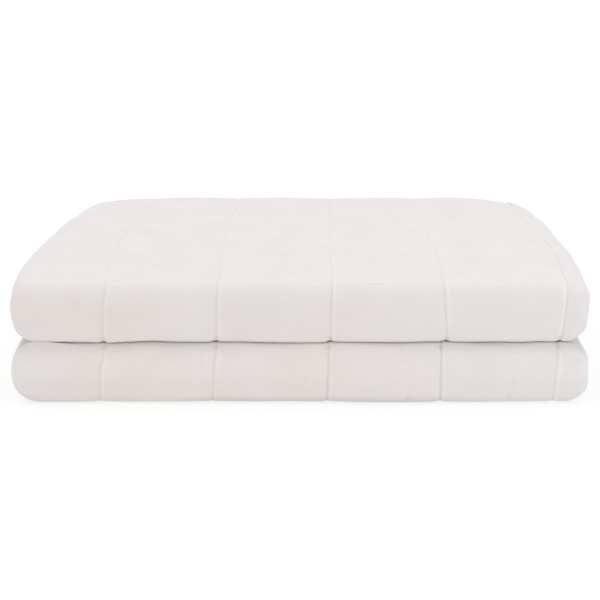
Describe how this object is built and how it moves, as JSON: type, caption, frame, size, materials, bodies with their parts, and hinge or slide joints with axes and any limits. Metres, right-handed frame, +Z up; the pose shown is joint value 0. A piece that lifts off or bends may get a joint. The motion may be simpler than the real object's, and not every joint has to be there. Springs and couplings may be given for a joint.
{
  "type": "weighted blanket",
  "caption": "Quilted weighted blanket with square sewn pockets, folded into a neat rectangular stack with two pressed folds at the front.",
  "frame": {"origin": "centre of the bounding box at its base, on the surface the folded blanket rests on", "axes": "+X to the side with the lengthwise fold (the two long hems lie at -X), -Y to the two pressed front folds, +Y to the single large back fold, +Z up through the stack"},
  "size_m": [0.6072, 0.5018, 0.1284],
  "materials": {
    "ivory_white_fabric": "matt, soft brushed ivory-white cloth"
  },
  "bodies": {
    "root": {"quilted_blanket": "ivory_white_fabric"}
  },
  "joints": []
}
